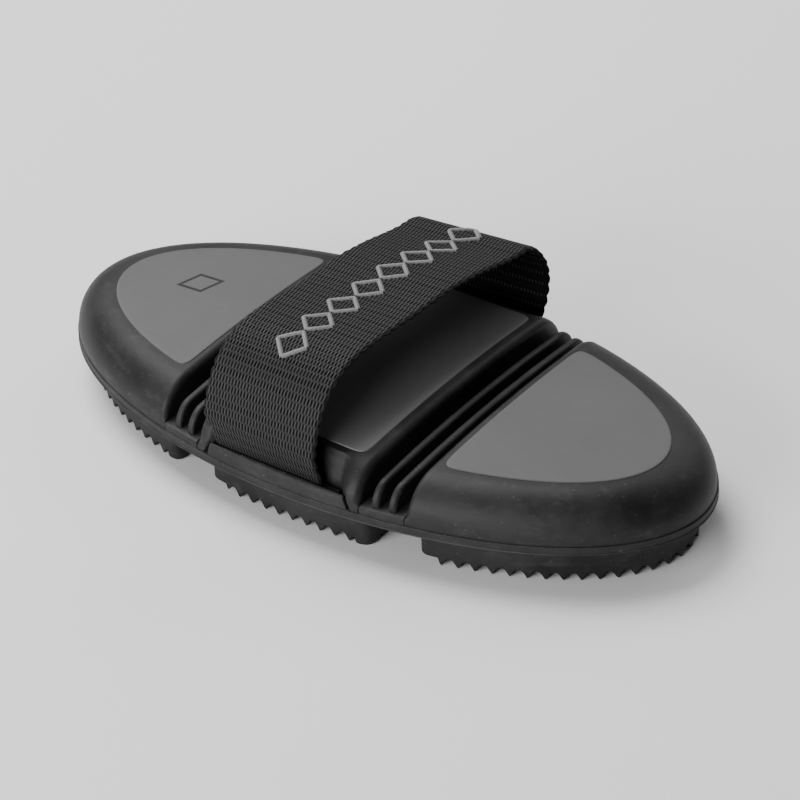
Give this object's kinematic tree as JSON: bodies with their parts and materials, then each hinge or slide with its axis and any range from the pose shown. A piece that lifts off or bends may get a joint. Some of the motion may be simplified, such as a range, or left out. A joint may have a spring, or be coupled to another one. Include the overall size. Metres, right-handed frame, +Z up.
{
  "type": "curry comb",
  "caption": "Oval flexible rubber curry comb with hinged end pads, grey inlays, toothed rings underneath and a webbing hand strap across the middle.",
  "frame": {"origin": "centre of the oval, on the plane of the tooth tips that the comb stands on", "axes": "+X along the comb towards the right pad, +Y across it along the strap, +Z up through the strap"},
  "size_m": [0.2, 0.098, 0.0457],
  "materials": {
    "shell_rubber": "satin",
    "sole_rubber": "matte",
    "inlay": "matte",
    "webbing": "woven",
    "thread": "embroidered"
  },
  "bodies": {
    "centre": {"centre_shell": "shell_rubber", "centre_inlay": "inlay", "centre_sole": "sole_rubber", "centre_outer_tooth_ring": "sole_rubber", "centre_inner_tooth_ring": "sole_rubber", "strap_near_end": "webbing", "strap_far_end": "webbing"},
    "near_leg": {"strap_near_leg": "webbing"},
    "crown": {"strap_crown": "webbing", "strap_motif": "thread"},
    "far_leg": {"strap_far_leg": "webbing"},
    "left_inner_rib": {"left_inner_flex_rib": "shell_rubber", "left_inner_groove_web": "sole_rubber"},
    "left_outer_rib": {"left_outer_flex_rib": "shell_rubber", "left_middle_groove_web": "sole_rubber"},
    "left_pad": {"left_pad_shell": "shell_rubber", "left_pad_inlay": "inlay", "left_pad_sole": "sole_rubber", "left_pad_outer_tooth_ring": "sole_rubber", "left_pad_inner_tooth_ring": "sole_rubber", "left_outer_groove_web": "sole_rubber"},
    "right_inner_rib": {"right_inner_flex_rib": "shell_rubber", "right_inner_groove_web": "sole_rubber"},
    "right_outer_rib": {"right_outer_flex_rib": "shell_rubber", "right_middle_groove_web": "sole_rubber"},
    "right_pad": {"right_pad_shell": "shell_rubber", "right_pad_inlay": "inlay", "right_pad_sole": "sole_rubber", "right_pad_outer_tooth_ring": "sole_rubber", "right_pad_inner_tooth_ring": "sole_rubber", "right_outer_groove_web": "sole_rubber"}
  },
  "joints": [
    {"name": "strap_sway", "type": "hinge", "parent": "centre", "child": "near_leg", "pos_m": [0, -0.0451, 0.0174], "axis": [1, 0, 0], "range_deg": [-20, 20], "stiffness_Nm_per_rad": 0.02},
    {"name": "strap_near_shoulder", "type": "hinge", "parent": "near_leg", "child": "crown", "pos_m": [0, -0.0451, 0.0334], "axis": [1, 0, 0], "range_deg": [-20, 20], "stiffness_Nm_per_rad": 0.02},
    {"name": "strap_far_shoulder", "type": "hinge", "parent": "crown", "child": "far_leg", "pos_m": [0, 0.0451, 0.0334], "axis": [1, 0, 0], "range_deg": [-20, 20], "stiffness_Nm_per_rad": 0.02},
    {"name": "left_pad_bend", "type": "hinge", "parent": "centre", "child": "left_inner_rib", "pos_m": [-0.02785, 0, 0.0134], "axis": [0, -1, 0], "range_deg": [-8, 10], "stiffness_Nm_per_rad": 0.3, "deforming": ["left_inner_groove_web"]},
    {"name": "left_middle_groove_bend", "type": "hinge", "parent": "left_inner_rib", "child": "left_outer_rib", "pos_m": [-0.03265, 0, 0.0134], "axis": [0, -1, 0], "range_deg": [-8, 10], "stiffness_Nm_per_rad": 0.3, "deforming": ["left_middle_groove_web"]},
    {"name": "left_outer_groove_bend", "type": "hinge", "parent": "left_outer_rib", "child": "left_pad", "pos_m": [-0.03765, 0, 0.0134], "axis": [0, -1, 0], "range_deg": [-8, 10], "stiffness_Nm_per_rad": 0.3, "deforming": ["left_outer_groove_web"]},
    {"name": "right_pad_bend", "type": "hinge", "parent": "centre", "child": "right_inner_rib", "pos_m": [0.02785, 0, 0.0134], "axis": [0, 1, 0], "range_deg": [-8, 10], "stiffness_Nm_per_rad": 0.3, "deforming": ["right_inner_groove_web"]},
    {"name": "right_middle_groove_bend", "type": "hinge", "parent": "right_inner_rib", "child": "right_outer_rib", "pos_m": [0.03265, 0, 0.0134], "axis": [0, 1, 0], "range_deg": [-8, 10], "stiffness_Nm_per_rad": 0.3, "deforming": ["right_middle_groove_web"]},
    {"name": "right_outer_groove_bend", "type": "hinge", "parent": "right_outer_rib", "child": "right_pad", "pos_m": [0.03765, 0, 0.0134], "axis": [0, 1, 0], "range_deg": [-8, 10], "stiffness_Nm_per_rad": 0.3, "deforming": ["right_outer_groove_web"]}
  ],
  "couplings": [
    {"joint": "strap_near_shoulder", "follows": "strap_sway", "ratio": -1},
    {"joint": "strap_far_shoulder", "follows": "strap_sway", "ratio": 1},
    {"joint": "left_middle_groove_bend", "follows": "left_pad_bend", "ratio": 1},
    {"joint": "left_outer_groove_bend", "follows": "left_pad_bend", "ratio": 1},
    {"joint": "right_middle_groove_bend", "follows": "right_pad_bend", "ratio": 1},
    {"joint": "right_outer_groove_bend", "follows": "right_pad_bend", "ratio": 1}
  ]
}
